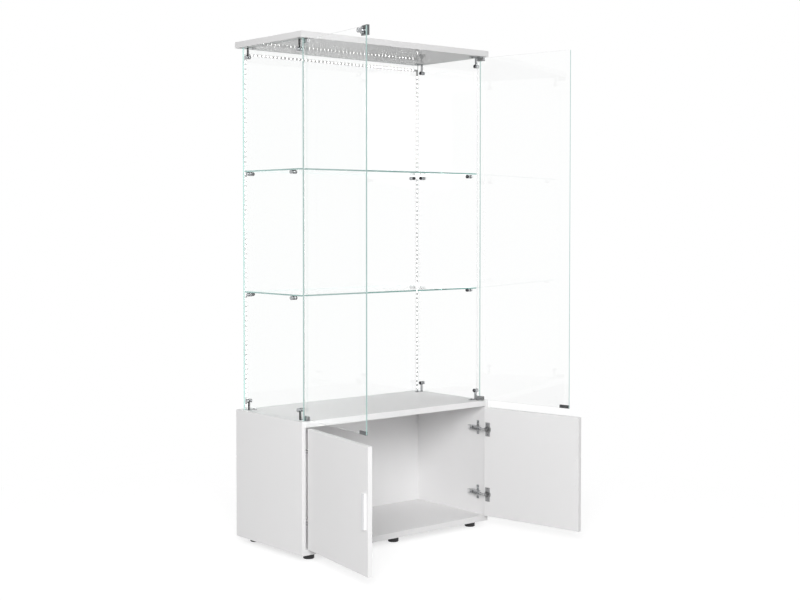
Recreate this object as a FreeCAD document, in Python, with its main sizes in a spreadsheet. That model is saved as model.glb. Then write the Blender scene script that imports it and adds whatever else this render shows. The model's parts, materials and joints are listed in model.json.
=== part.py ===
import FreeCAD, Part
import math
import os
import Sketcher
from FreeCAD import Vector

# Free-standing glass display cabinet. Millimetres, +Z up, front towards -Y.
# The origin is on the floor, under the centre of the middle front foot.

doc = FreeCAD.newDocument("display_cabinet")
sheet = doc.addObject("Spreadsheet::Sheet", "Sizes")

SIZES = [
    ("width", 900, "cabinet, end to end"),
    ("depth", 412, "cabinet, front to back"),
    ("base_height", 472, "underside of the bottom board to the upper face of the base"),
    ("glass_height", 1337, "height of the fixed glass"),
    ("board", 22, "thickness of the lying boards"),
    ("side_board", 16, "thickness of the standing boards and base doors"),
    ("glass", 5, "thickness of all glass"),
    ("case_inset", 20, "cabinet's ends, front and back to the glass case"),
    ("running_gap", 0.05, "clearance around anything that turns in a hole"),
    ("slide_gap", 0.3, "clearance between parts that pass each other"),
    ("foot_height", 22, "height of a foot"),
    ("foot_radius", 20, "radius of a foot"),
    ("foot_edge", 1.5, "chamfer round the underside of a foot"),
    ("foot_setback", 40, "front and back of the cabinet to the feet"),
    ("foot_end", 58, "ends of the cabinet to the outer feet"),
    ("foot_bore", 6, "radius of the bore for the screw head in a foot"),
    ("foot_bore_depth", 15, "depth of that bore"),
    ("foot_screw_radius", 2.5, "shank of a foot screw"),
    ("foot_screw_head", 5, "radius of a foot screw's head"),
    ("foot_screw_bite", 15, "depth of a foot screw in the bottom board"),
    ("head_height", 2.5, "height of every screw head"),
    ("dowel_radius", 4, "radius of a dowel"),
    ("dowel_short", 12, "dowel length in a lying board"),
    ("dowel_long", 18, "dowel length in a side board"),
    ("dowel_setback", 60, "front and back of the cabinet to the dowels"),
    ("door_gap", 2, "gap round the base doors"),
    ("base_door_open", 100, "angle at which the base doors stand open"),
    ("axis_inset", 12.5, "cabinet's end to the base door's turning axis"),
    ("axis_front", 5.6, "cabinet's front to that axis, forwards"),
    ("hinge_end", 85, "door's lower and upper edge to a hinge"),
    ("cup_edge", 17, "door's hinge edge to the centre of a cup"),
    ("cup_radius", 13, "radius of a hinge cup"),
    ("cup_depth", 11, "depth of a hinge cup"),
    ("cup_wall", 1.5, "wall of a hinge cup"),
    ("flange_width", 20, "flange of a hinge cup, along the door"),
    ("flange_height", 54, "flange of a hinge cup, upright"),
    ("flange_plate", 2, "thickness of that flange"),
    ("flange_screws", 42, "spacing of the two screws in a flange or a hinge plate"),
    ("hinge_screw_radius", 2, "shank of a hinge screw"),
    ("hinge_screw_head", 3.8, "radius of a hinge screw's head"),
    ("hinge_screw_bite", 10, "length of a hinge screw"),
    ("pivot_edge", 13, "door's hinge edge to the pivot of the cup link"),
    ("pivot_height", 7, "door's inner face to that pivot"),
    ("link_bend", 14.9, "angle of an opened link to the line through both link pivots"),
    ("link_width", 7, "width of a hinge link"),
    ("link_plate", 1.5, "thickness of links, ears and channel walls"),
    ("rivet", 1.5, "radius of the hinge rivets"),
    ("ear_inside", 0.6, "hinge's middle to the inner face of a cup ear"),
    ("plate_setback", 37, "cabinet's front to the middle of a hinge plate's wings"),
    ("plate_width", 12, "width of a hinge plate's wings"),
    ("plate_foot", 4, "side board to the hinge arm"),
    ("arm_clear", 1, "closed door's hinge flange to the hinge arm"),
    ("arm_back", 77, "cabinet's front to the back end of a hinge arm"),
    ("arm_lift", 15.5, "width of the hinge arm's channel, off the plate"),
    ("arm_screw_setback", 63, "cabinet's front to the hinge arm's screw"),
    ("handle_length", 118, "length of a handle"),
    ("handle_width", 17, "width of a handle"),
    ("handle_height", 9, "projection of a handle"),
    ("handle_edge", 11, "door's free edge to the handle"),
    ("handle_wall", 2, "wall of the handle's lip"),
    ("handle_sole", 1.5, "thickness of the handle on the door"),
    ("handle_end", 21, "solid length at each end of a handle"),
    ("handle_round", 0.8, "rounding of the handle's outer edges"),
    ("handle_screws", 96, "spacing of the handle screws"),
    ("handle_screw_radius", 2, "shank of a handle screw"),
    ("handle_screw_head", 4, "radius of a handle screw's head"),
    ("handle_screw_bite", 6.5, "depth of a handle screw in the handle"),
    ("handle_screw_sink", 1, "door's inner face to a handle screw's sunk head"),
    ("shelf_front", 38, "cabinet's front to a shelf"),
    ("shelf_back", 3, "back glass to a shelf"),
    ("shelf_side", 1, "side glass to a shelf"),
    ("lower_shelf_height", 436, "base's upper face to the underside of the lower shelf"),
    ("upper_shelf_height", 881, "base's upper face to the underside of the upper shelf"),
    ("peg_radius", 7, "radius of pegs, knobs and their caps"),
    ("peg_length", 15, "peg, off the glass"),
    ("peg_round", 2, "chamfer on the inner end of a peg or knob"),
    ("stem_radius", 3, "stem of a peg or knob in the glass"),
    ("stem_hole", 3.5, "radius of a hole in the glass"),
    ("cap_length", 8, "cap, off the outer face of the glass"),
    ("side_peg_front", 81, "cabinet's front to the front pegs"),
    ("side_peg_back", 54, "cabinet's back to the rear pegs of the side glasses"),
    ("back_peg_end", 56, "cabinet's end to a peg of the back glass"),
    ("bracket_setback", 42, "cabinet's front to the front brackets"),
    ("bracket_back", 50, "cabinet's back to the rear brackets"),
    ("bracket_foot", 34, "length of a bracket along the board"),
    ("bracket_leg", 42, "length of a bracket along the glass"),
    ("bracket_width", 10, "width of a bracket"),
    ("bracket_plate", 3, "thickness of a bracket"),
    ("bracket_bolt", 36, "board to the bracket's knob"),
    ("bracket_screw", 23, "glass to the bracket's screw"),
    ("bracket_screw_radius", 2, "shank of a bracket screw"),
    ("bracket_screw_head", 3.8, "radius of a bracket screw's head"),
    ("bracket_screw_bite", 14, "depth of a bracket screw in a board"),
    ("knob_length", 9, "knob, off the bracket"),
    ("pivot_side", 7, "side glass to the pivot of a glass door"),
    ("glass_door_gap", 2, "gap between the closed glass doors"),
    ("glass_door_under", 5, "base to the glass doors"),
    ("glass_door_over", 6, "cap to the glass doors"),
    ("glass_door_heel", 4, "glass behind the pivot"),
    ("left_door_open", 98, "angle at which the left glass door stands open"),
    ("right_door_open", 100.5, "angle at which the right glass door stands open"),
    ("clamp_radius", 5.5, "half the thickness of a pivot clamp"),
    ("clamp_length", 28, "pivot clamp, from its pivot along the glass"),
    ("clamp_grip", 12, "depth of the glass in a pivot clamp"),
    ("clamp_web", 3, "thickness of a clamp under the glass"),
    ("pin_radius", 2.5, "radius of a pivot pin"),
    ("pin_depth", 8, "pivot pin in the board"),
    ("bush_radius", 4.5, "radius of a bush in the board"),
    ("bush_rim", 6, "radius of a bush's rim"),
    ("bush_rim_height", 1, "height of that rim"),
    ("bush_floor", 2, "bush under the end of the pin"),
    ("clip_length", 40, "edge clip along the glass"),
    ("clip_height", 11, "edge clip up the glass"),
    ("clip_wall", 1, "wall of an edge clip"),
    ("lock_width", 33, "lock case along the glass"),
    ("lock_height", 33.5, "height of the lock case"),
    ("lock_depth", 9, "lock case off the glass"),
    ("lock_over", 2, "cap to the lock case"),
    ("lock_edge", 18, "door's free edge to the barrel"),
    ("lock_drop", 20, "cap to the barrel"),
    ("barrel_radius", 8, "radius of the barrel"),
    ("barrel_reach", 22, "barrel off the middle of the glass"),
    ("barrel_seat", 2, "barrel in the case"),
    ("barrel_hole", 9, "radius of the hole for the barrel in the glass"),
    ("keyway_width", 2, "width of the keyway"),
    ("keyway_height", 8, "height of the keyway"),
    ("keyway_depth", 6, "depth of the keyway"),
    ("rosette_radius", 11.5, "radius of the ring round the barrel"),
    ("rosette_height", 6, "height of that ring"),
    ("bolt_width", 12, "lock bolt along the glass"),
    ("bolt_plate", 4, "thickness of the lock bolt"),
    ("bolt_length", 22, "length of the lock bolt"),
    ("bolt_offset", 3.2, "glass to the lock bolt"),
    ("bolt_mortise", 11, "depth of the hole for the bolt in the cap"),
    ("bolt_play", 1, "clearance round the bolt in that hole"),
    ("led_width", 8, "width of the light strip"),
    ("led_height", 1.2, "thickness of the light strip"),
    ("led_end", 31, "cabinet's end to the middle of the upright strips"),
    ("led_drop", 23.5, "cap to the middle of the top strip"),
    ("led_foot", 6, "base to the lower ends of the upright strips"),
]


class Size:
    """A length or angle that keeps the sheet expression it comes from."""

    def __init__(self, number, text):
        self.number = number
        self.text = text

    def join(self, sign, other, number):
        return Size(number, f"({self.text} {sign} {other.text})")

    def __add__(self, other):
        other = size(other)
        return self.join("+", other, self.number + other.number)

    def __sub__(self, other):
        other = size(other)
        return self.join("-", other, self.number - other.number)

    def __mul__(self, other):
        other = size(other)
        return self.join("*", other, self.number * other.number)

    def __truediv__(self, other):
        other = size(other)
        return self.join("/", other, self.number / other.number)

    def __neg__(self):
        return Size(-self.number, f"(0 - {self.text})")

    def __rsub__(self, other):
        return size(other) - self

    __radd__ = __add__
    __rmul__ = __mul__


def size(value):
    if isinstance(value, Size):
        return value
    return Size(float(value), f"({value})")


def cell(name, number, meaning):
    row = SIZES.index((name, number, meaning)) + 1
    sheet.set(f"A{row}", meaning)
    sheet.set(f"B{row}", str(number))
    sheet.setAlias(f"B{row}", name)
    return Size(float(number), f"Sizes.{name}")


dim = {name: cell(name, number, meaning) for name, number, meaning in SIZES}
doc.recompute()


def direction_of(across, along):
    degrees = math.degrees(math.atan2(across.number, along.number))
    return Size(degrees, f"(atan2({across.text}; {along.text}) / (1 deg))")


def sine(angle):
    return Size(math.sin(math.radians(angle.number)), f"sin({angle.text})")


def cosine(angle):
    return Size(math.cos(math.radians(angle.number)), f"cos({angle.text})")


def length_of(across, along):
    return Size(math.hypot(across.number, along.number), f"hypot({across.text}; {along.text})")


# Ways to point a piece that is built along +Z, as axis and angle.
UP = ((0, 0, 1), 0)
DOWN = ((1, 0, 0), 180)
RIGHT = ((0, 1, 0), 90)
LEFT = ((0, 1, 0), -90)
BACK = ((1, 0, 0), -90)
FORWARD = ((1, 0, 0), 90)
HALF_TURN = ((0, 0, 1), 180)
OVER = ((0, 1, 0), 180)


def spot(where, turn=UP):
    x, y, z = (size(value).text for value in where)
    axis, angle = turn
    spin = "; ".join(str(value) for value in axis)
    return f"placement(vector({x}; {y}; {z}); rotation(vector({spin}); {size(angle).text}))"


def place(piece, where, turn=UP, frame=None):
    text = spot(where, turn)
    piece.setExpression("Placement", f"{frame} * {text}" if frame else text)
    return piece


def box(low, high, frame=None):
    block = doc.addObject("Part::Box", "Block")
    for side, start, end in zip(("Length", "Width", "Height"), low, high):
        block.setExpression(side, (size(end) - size(start)).text)
    return place(block, low, frame=frame)


def rod(foot, radius, length, turn=UP):
    round_bar = doc.addObject("Part::Cylinder", "Rod")
    round_bar.setExpression("Radius", size(radius).text)
    round_bar.setExpression("Height", size(length).text)
    return place(round_bar, foot, turn)


def group(pieces):
    bundle = doc.addObject("Part::Compound", "Group")
    bundle.Links = pieces
    return bundle


def join(pieces):
    union = doc.addObject("Part::MultiFuse", "Union")
    union.Shapes = pieces
    return union


def cut(blank, tools):
    result = doc.addObject("Part::Cut", "Cut")
    result.Base = blank
    result.Tool = tools[0] if len(tools) == 1 else group(tools)
    return result


def mirrored(piece):
    image = doc.addObject("Part::Mirroring", "Mirror")
    image.Source = piece
    image.Normal = Vector(1, 0, 0)
    return image


def fix(drawing, geometry, point, where):
    for kind, value in zip(("DistanceX", "DistanceY"), where):
        index = drawing.addConstraint(Sketcher.Constraint(kind, -1, 1, geometry, point, value.number))
        drawing.setExpression(f"Constraints[{index}]", value.text)


def sketch(body, plane, outline=(), circles=()):
    flat = next(item for item in body.Origin.OriginFeatures if item.Role == plane)
    drawing = body.newObject("Sketcher::SketchObject", "Sketch")
    drawing.AttachmentSupport = [(flat, "")]
    drawing.MapMode = "FlatFace"
    corners = [(size(x), size(y)) for x, y in outline]
    for here, there in zip(corners, corners[1:] + corners[:1]):
        start = Vector(here[0].number, here[1].number, 0)
        end = Vector(there[0].number, there[1].number, 0)
        drawing.addGeometry(Part.LineSegment(start, end), False)
    for edge in range(len(corners)):
        following = (edge + 1) % len(corners)
        drawing.addConstraint(Sketcher.Constraint("Coincident", edge, 2, following, 1))
    for edge, corner in enumerate(corners):
        fix(drawing, edge, 1, corner)
    for x, y, radius in circles:
        centre = (size(x), size(y))
        circle = Part.Circle(Vector(centre[0].number, centre[1].number, 0), Vector(0, 0, 1), radius.number)
        ring = drawing.addGeometry(circle, False)
        fix(drawing, ring, 3, centre)
        index = drawing.addConstraint(Sketcher.Constraint("Radius", ring, radius.number))
        drawing.setExpression(f"Constraints[{index}]", radius.text)
    return drawing


def rectangle(x0, y0, x1, y1):
    return [(x0, y0), (x1, y0), (x1, y1), (x0, y1)]


def new_body():
    return doc.addObject("PartDesign::Body", "Body")


def pad(body, drawing, length, both_ways=False, backwards=False):
    feature = body.newObject("PartDesign::Pad", "Pad")
    feature.Profile = drawing
    feature.SideType = "Symmetric" if both_ways else "One side"
    feature.Reversed = backwards
    feature.setExpression("Length", size(length).text)
    return body


def pocket(body, drawing, length, both_ways=False, backwards=False):
    feature = body.newObject("PartDesign::Pocket", "Pocket")
    feature.Profile = drawing
    feature.SideType = "Symmetric" if both_ways else "One side"
    feature.Reversed = backwards
    feature.setExpression("Length", size(length).text)
    return body


def turned(profile):
    body = new_body()
    drawing = sketch(body, "XZ_Plane", profile)
    feature = body.newObject("PartDesign::Revolution", "Revolution")
    feature.Profile = drawing
    feature.ReferenceAxis = (drawing, ["V_Axis"])
    feature.Angle = 360
    return body


def screw(head_radius, shank_radius, bite):
    """A pan-head screw along +Z; the underside of its head is at zero."""
    head = -dim["head_height"]
    return turned([
        (0, head),
        (head_radius, head),
        (head_radius, 0),
        (shank_radius, 0),
        (shank_radius, bite),
        (0, bite),
    ])


nodes = []


def node(label, piece, frame=None):
    if frame:
        piece.setExpression("Placement", frame)
    piece.Label = label
    nodes.append(piece)
    return piece


# Main planes of the cabinet.
half = dim["width"] / 2
front = -dim["foot_setback"]
back = front + dim["depth"]
underside = dim["foot_height"]
inside_floor = underside + dim["board"]
base_top = underside + dim["base_height"]
inside_ceiling = base_top - dim["board"]
cap_under = base_top + dim["glass_height"]
side_face = half - dim["side_board"]
glass_outer = half - dim["case_inset"]
glass_inner = glass_outer - dim["glass"]
case_front = front + dim["case_inset"]
case_back = back - dim["case_inset"]
back_glass_inner = case_back - dim["glass"]
SIDES = (-1, 1)

# Feet and their screws.
foot_columns = {"left": -(half - dim["foot_end"]), "middle": 0, "right": half - dim["foot_end"]}
foot_rows = {"front": 0, "back": back - dim["foot_setback"]}
foot_screws = []
foot_pilots = []
for row, y in foot_rows.items():
    for column, x in foot_columns.items():
        shank = dim["foot_screw_radius"] + dim["slide_gap"]
        profile = [
            (dim["foot_bore"], 0),
            (dim["foot_radius"] - dim["foot_edge"], 0),
            (dim["foot_radius"], dim["foot_edge"]),
            (dim["foot_radius"], dim["foot_height"]),
            (shank, dim["foot_height"]),
            (shank, dim["foot_bore_depth"]),
            (dim["foot_bore"], dim["foot_bore_depth"]),
        ]
        node(f"foot_{row}_{column}", turned(profile), spot((x, y, 0)))
        reach = dim["foot_height"] - dim["foot_bore_depth"] + dim["foot_screw_bite"]
        fixing = screw(dim["foot_screw_head"], dim["foot_screw_radius"], reach)
        foot_screws.append(place(fixing, (x, y, dim["foot_bore_depth"])))
        foot_pilots.append(rod((x, y, underside), dim["foot_screw_radius"], dim["foot_screw_bite"]))
node("foot_screws", group(foot_screws))

# Dowels between the side boards and the lying boards.
dowel_length = dim["dowel_short"] + dim["dowel_long"]
dowel_x = half - dim["side_board"] / 2
dowel_rows = (front + dim["dowel_setback"], back - dim["dowel_setback"])
dowel_low = inside_floor - dim["dowel_short"]
dowel_high = inside_ceiling - dim["dowel_long"]


def dowel_set(sides, foot):
    return [
        rod((side * dowel_x, y, foot), dim["dowel_radius"], dowel_length)
        for side in sides
        for y in dowel_rows
    ]


node("base_dowels", group(dowel_set(SIDES, dowel_low) + dowel_set(SIDES, dowel_high)))

# Brackets, knobs and screws at the corners of the glass case.
bracket_rows = (front + dim["bracket_setback"], back - dim["bracket_back"])
bracket_turns = {("bottom", -1): UP, ("bottom", 1): HALF_TURN, ("top", -1): DOWN, ("top", 1): OVER}
bracket_boards = {"bottom": (base_top, 1), "top": (cap_under, -1)}
brackets = {"bottom": [], "top": []}
bracket_pilots = {"bottom": [], "top": []}
bracket_knobs = []
bracket_caps = []
bracket_screws = []


def bracket():
    """Bent plate; the glass is its YZ plane and the board its XY plane."""
    plate = dim["bracket_plate"]
    bent = [
        (0, 0),
        (dim["bracket_foot"], 0),
        (dim["bracket_foot"], plate),
        (plate, plate),
        (plate, dim["bracket_leg"]),
        (0, dim["bracket_leg"]),
    ]
    body = new_body()
    pad(body, sketch(body, "XZ_Plane", bent), dim["bracket_width"], both_ways=True)
    screw_hole = sketch(body, "XY_Plane", (), [(dim["bracket_screw"], 0, dim["bracket_screw_radius"])])
    pocket(body, screw_hole, plate * 3, both_ways=True)
    knob_hole = sketch(body, "YZ_Plane", (), [(0, dim["bracket_bolt"], dim["stem_radius"])])
    return pocket(body, knob_hole, plate * 3, both_ways=True)


def studded(head_length, stem_length):
    """Round head along +Z on a thin stem; the head sits on the zero plane."""
    radius = dim["peg_radius"]
    top = size(head_length)
    return turned([
        (0, -stem_length),
        (dim["stem_radius"], -stem_length),
        (dim["stem_radius"], 0),
        (radius, 0),
        (radius, top - dim["peg_round"]),
        (radius - dim["peg_round"], top),
        (0, top),
    ])


for level, (board_face, upwards) in bracket_boards.items():
    for side in SIDES:
        inwards = RIGHT if side < 0 else LEFT
        outwards = LEFT if side < 0 else RIGHT
        for y in bracket_rows:
            corner = (side * glass_inner, y, board_face)
            brackets[level].append(place(bracket(), corner, bracket_turns[level, side]))
            height = board_face + upwards * dim["bracket_bolt"]
            stem = dim["bracket_plate"] + dim["glass"]
            knob_seat = (side * (glass_inner - dim["bracket_plate"]), y, height)
            bracket_knobs.append(place(studded(dim["knob_length"], stem), knob_seat, inwards))
            cap_seat = (side * glass_outer, y, height)
            bracket_caps.append(rod(cap_seat, dim["peg_radius"], dim["cap_length"], outwards))
            screw_x = side * (glass_inner - dim["bracket_screw"])
            screw_seat = (screw_x, y, board_face + upwards * dim["bracket_plate"])
            into_board = DOWN if upwards > 0 else UP
            reach = dim["bracket_plate"] + dim["bracket_screw_bite"]
            fixing = screw(dim["bracket_screw_head"], dim["bracket_screw_radius"], reach)
            bracket_screws.append(place(fixing, screw_seat, into_board))
            pilot = (screw_x, y, board_face)
            bite = dim["bracket_screw_bite"]
            bracket_pilots[level].append(rod(pilot, dim["bracket_screw_radius"], bite, into_board))
node("bottom_brackets", group(brackets["bottom"]))
node("top_brackets", group(brackets["top"]))
node("bracket_knobs", group(bracket_knobs))
node("bracket_caps", group(bracket_caps))
node("bracket_screws", group(bracket_screws))

# Bushes in which the pivots of the glass doors turn.
door_pivot_x = glass_inner - dim["pivot_side"]
door_pivot_y = case_front + dim["glass"] / 2
bush_depth = dim["pin_depth"] + dim["bush_floor"]
bush_bore = dim["pin_radius"] + dim["running_gap"]
bush_profile = [
    (0, -bush_depth),
    (dim["bush_radius"], -bush_depth),
    (dim["bush_radius"], 0),
    (dim["bush_rim"], 0),
    (dim["bush_rim"], dim["bush_rim_height"]),
    (bush_bore, dim["bush_rim_height"]),
    (bush_bore, -dim["pin_depth"]),
    (0, -dim["pin_depth"]),
]
bushes = []
bush_holes = {"bottom": [], "top": []}
for side in SIDES:
    for level, (board_face, upwards) in bracket_boards.items():
        seat = (side * door_pivot_x, door_pivot_y, board_face)
        bushes.append(place(turned(bush_profile), seat, UP if upwards > 0 else DOWN))
        into_board = DOWN if upwards > 0 else UP
        bush_holes[level].append(rod(seat, dim["bush_radius"], bush_depth, into_board))
node("pivot_bushes", group(bushes))

# Where things sit on a closed glass door, measured from its pivot.
door_reach = door_pivot_x - dim["glass_door_gap"] / 2
door_bottom = base_top + dim["glass_door_under"]
door_top = cap_under - dim["glass_door_over"]
half_glass = dim["glass"] / 2
barrel_x = door_reach - dim["lock_edge"]
barrel_z = cap_under - dim["lock_drop"]
bolt_near = half_glass + dim["bolt_offset"]
bolt_far = bolt_near + dim["bolt_plate"]
bolt_top = cap_under - dim["lock_over"]

# Lying boards.
bottom_board = box((-half, front, underside), (half, back, inside_floor))
node("base_bottom", cut(bottom_board, foot_pilots + dowel_set(SIDES, dowel_low)))
top_board = box((-half, front, inside_ceiling), (half, back, base_top))
top_holes = dowel_set(SIDES, dowel_high) + bracket_pilots["bottom"] + bush_holes["bottom"]
node("base_top", cut(top_board, top_holes))
cap_blank = box((-half, front, cap_under), (half, back, cap_under + dim["board"]))
bolt_left = barrel_x - door_pivot_x - dim["bolt_width"] / 2
mortise_low = (bolt_left - dim["bolt_play"], door_pivot_y + bolt_near - dim["bolt_play"], cap_under)
mortise_high = (
    bolt_left + dim["bolt_width"] + dim["bolt_play"],
    door_pivot_y + bolt_far + dim["bolt_play"],
    cap_under + dim["bolt_mortise"],
)
node("cap", cut(cap_blank, bracket_pilots["top"] + bush_holes["top"] + [box(mortise_low, mortise_high)]))

# Standing boards of the base, with the pilot holes of the hinge plates.
base_door_low = inside_floor + dim["door_gap"]
base_door_high = inside_ceiling - dim["door_gap"]
hinge_heights = (base_door_low + dim["hinge_end"], base_door_high - dim["hinge_end"])
plate_y = front + dim["plate_setback"]
screw_heights = [height + sign * dim["flange_screws"] / 2 for height in hinge_heights for sign in SIDES]
plate_pilots = [
    rod((-side_face, plate_y, z), dim["hinge_screw_radius"], dim["hinge_screw_bite"], LEFT)
    for z in screw_heights
]
left_blank = box((-half, front, inside_floor), (-side_face, back, inside_ceiling))
left_dowels = dowel_set((-1,), dowel_low) + dowel_set((-1,), dowel_high)
left_side = node("base_left_side", cut(left_blank, left_dowels + plate_pilots))
node("base_right_side", mirrored(left_side))
back_inner = back - dim["side_board"]
node("base_back", box((-side_face, back_inner, inside_floor), (side_face, back, inside_ceiling)))

# Concealed hinge of a base door: cross plate, channel-shaped arm and two pairs of links.
# Closed, the cup's pivot lies on the arm's pivot and both links fold into the channel.
hinge_edge = half - dim["side_board"] - dim["door_gap"]
turn_x = half - dim["axis_inset"]
turn_y = front - dim["axis_front"]
pivot_x = hinge_edge - dim["pivot_edge"]
pivot_y = front + dim["side_board"] + dim["pivot_height"]
link_step = dim["link_plate"] + dim["slide_gap"]
cup_link_level = dim["ear_inside"] + link_step
arm_link_level = cup_link_level + link_step
wall_level = arm_link_level + link_step
wall_top = wall_level + dim["link_plate"]
arm_face = side_face - dim["plate_foot"]
arm_edge = arm_face - dim["arm_lift"]
arm_front = front + dim["side_board"] + dim["flange_plate"] + dim["arm_clear"]
arm_rear = front + dim["arm_back"]
arm_screw_y = front + dim["arm_screw_setback"]
plates = []
arms = []
plate_screws = []
for height in hinge_heights:
    wing_low = (-side_face, plate_y - dim["plate_width"] / 2, height - dim["flange_height"] / 2)
    wing_high = (
        -(side_face - dim["flange_plate"]),
        plate_y + dim["plate_width"] / 2,
        height + dim["flange_height"] / 2,
    )
    seat_low = (-side_face, plate_y - dim["plate_width"] / 2, height - wall_top)
    seat_high = (-arm_face, arm_rear - dim["plate_width"] / 2, height + wall_top)
    holes = [
        rod((-side_face, plate_y, height + sign * dim["flange_screws"] / 2),
            dim["hinge_screw_radius"], dim["flange_plate"], RIGHT)
        for sign in SIDES
    ]
    plate_hole = rod((-side_face, arm_screw_y, height), dim["hinge_screw_radius"], dim["plate_foot"], RIGHT)
    plates.append(cut(join([box(wing_low, wing_high), box(seat_low, seat_high)]), holes + [plate_hole]))

    web_end = -(arm_face - dim["flange_plate"])
    web = box((-arm_face, plate_y, height - wall_top), (web_end, arm_rear, height + wall_top))
    channel = [web]
    for low, pin in ((wall_level, arm_link_level), (-wall_top, -wall_top)):
        wall_low = (-arm_face, arm_front, height + low)
        channel.append(box(wall_low, (-arm_edge, arm_rear, height + low + dim["link_plate"])))
        pin_length = wall_top - arm_link_level
        channel.append(rod((-pivot_x, pivot_y, height + pin), dim["rivet"], pin_length))
    web_hole = rod((-arm_face, arm_screw_y, height), dim["hinge_screw_radius"], dim["flange_plate"], RIGHT)
    arms.append(cut(join(channel), [web_hole]))

    for z in (height - dim["flange_screws"] / 2, height + dim["flange_screws"] / 2):
        reach = dim["flange_plate"] + dim["hinge_screw_bite"]
        fixing = screw(dim["hinge_screw_head"], dim["hinge_screw_radius"], reach)
        plate_screws.append(place(fixing, (-(side_face - dim["flange_plate"]), plate_y, z), LEFT))
    reach = dim["flange_plate"] + dim["plate_foot"]
    fixing = screw(dim["hinge_screw_head"], dim["hinge_screw_radius"], reach)
    plate_screws.append(place(fixing, (web_end, arm_screw_y, height), LEFT))
left_plates = group(plates)
node("hinge_plates", group([left_plates, mirrored(left_plates)]))
left_arms = node("left_hinge_arms", group(arms))
node("right_hinge_arms", mirrored(left_arms))
left_screws = group(plate_screws)
node("hinge_plate_screws", group([left_screws, mirrored(left_screws)]))

# Left base door, built closed around its turning axis, then swung open. The right one mirrors it.
left_turn = spot((-turn_x, turn_y, 0), ((0, 0, 1), -dim["base_door_open"]))
edge_x = turn_x - hinge_edge
free_x = edge_x + side_face - dim["door_gap"] * 2
outer_y = dim["axis_front"]
inner_y = outer_y + dim["side_board"]
cup_x = edge_x + dim["cup_edge"]
handle_x = free_x - dim["handle_edge"] - dim["handle_width"] / 2
handle_z = (base_door_low + base_door_high) / 2
handle_screw_x = handle_x + dim["handle_wall"]
handle_screw_heights = [handle_z + sign * dim["handle_screws"] / 2 for sign in SIDES]
handle_sink = dim["head_height"] + dim["handle_screw_sink"]

leaf = box((edge_x, outer_y, base_door_low), (free_x, inner_y, base_door_high))
leaf_holes = [rod((cup_x, inner_y, z), dim["cup_radius"], dim["cup_depth"], FORWARD) for z in hinge_heights]
for z in screw_heights:
    leaf_holes.append(rod((cup_x, inner_y, z), dim["hinge_screw_radius"], dim["hinge_screw_bite"], FORWARD))
for z in handle_screw_heights:
    leaf_holes.append(rod((handle_screw_x, outer_y, z), dim["handle_screw_radius"], dim["side_board"], BACK))
    sink_radius = dim["handle_screw_head"] + dim["slide_gap"]
    leaf_holes.append(rod((handle_screw_x, inner_y, z), sink_radius, handle_sink, FORWARD))
left_door = node("left_base_door", cut(leaf, leaf_holes), left_turn)


def hinge_cup(height):
    """Cup with flange, and two ears with the rivets on which the cup links turn."""
    floor = inner_y - dim["cup_depth"]
    flange_y = inner_y + dim["flange_plate"]
    flange_low = (cup_x - dim["flange_width"] / 2, inner_y, height - dim["flange_height"] / 2)
    flange_high = (cup_x + dim["flange_width"] / 2, flange_y, height + dim["flange_height"] / 2)
    rim = dim["cup_radius"] + dim["cup_wall"]
    body = join([
        rod((cup_x, floor, height), dim["cup_radius"], dim["cup_depth"], BACK),
        rod((cup_x, inner_y, height), rim, dim["flange_plate"], BACK),
        box(flange_low, flange_high),
    ])
    deep = dim["cup_depth"] + dim["flange_plate"]
    hollow = rod((cup_x, floor + dim["cup_wall"], height), dim["cup_radius"] - dim["cup_wall"], deep, BACK)
    holes = [
        rod((cup_x, inner_y, height + sign * dim["flange_screws"] / 2),
            dim["hinge_screw_radius"], dim["flange_plate"], BACK)
        for sign in SIDES
    ]
    ears = []
    ear_x = edge_x + dim["pivot_edge"]
    ear_y = inner_y + dim["pivot_height"]
    half_width = dim["link_width"] / 2
    ear_top = dim["ear_inside"] + dim["link_plate"]
    rivet_length = cup_link_level + dim["link_plate"] - dim["ear_inside"]
    for low, pin in ((dim["ear_inside"], dim["ear_inside"]), (-ear_top, -rivet_length - dim["ear_inside"])):
        ear_low = (ear_x - half_width, floor + dim["cup_wall"], height + low)
        ear_high = (ear_x + half_width, ear_y, height + low + dim["link_plate"])
        ears.append(box(ear_low, ear_high))
        ears.append(rod((ear_x, ear_y, height + low), half_width, dim["link_plate"]))
        ears.append(rod((ear_x, ear_y, height + pin), dim["rivet"], rivet_length))
    return join([cut(body, [hollow] + holes)] + ears)


left_cups = node("left_hinge_cups", group([hinge_cup(z) for z in hinge_heights]), left_turn)
cup_screws = []
for z in screw_heights:
    reach = dim["flange_plate"] + dim["hinge_screw_bite"]
    fixing = screw(dim["hinge_screw_head"], dim["hinge_screw_radius"], reach)
    cup_screws.append(place(fixing, (cup_x, inner_y + dim["flange_plate"], z), FORWARD))
left_cup_screws = node("left_cup_screws", group(cup_screws), left_turn)


lever_x = turn_x - pivot_x
lever_y = pivot_y - turn_y
half_open = dim["base_door_open"] / 2
link_length = length_of(lever_y, lever_x) * sine(half_open) / cosine(dim["link_bend"])


def links(level):
    """Upper and lower plate of both hinges, pivot at the origin and knuckle along +X."""
    pieces = []
    half_width = dim["link_width"] / 2
    for height in hinge_heights:
        for low in (level, -level - dim["link_plate"]):
            z = height + low
            top = z + dim["link_plate"]
            bar = join([
                box((0, -half_width, z), (link_length, half_width, top)),
                rod((0, 0, z), half_width, dim["link_plate"]),
                rod((link_length, 0, z), half_width, dim["link_plate"]),
            ])
            hole = rod((0, 0, z), dim["rivet"] + dim["running_gap"], dim["link_plate"])
            pieces.append(cut(bar, [hole]))
    return group(pieces)


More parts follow.
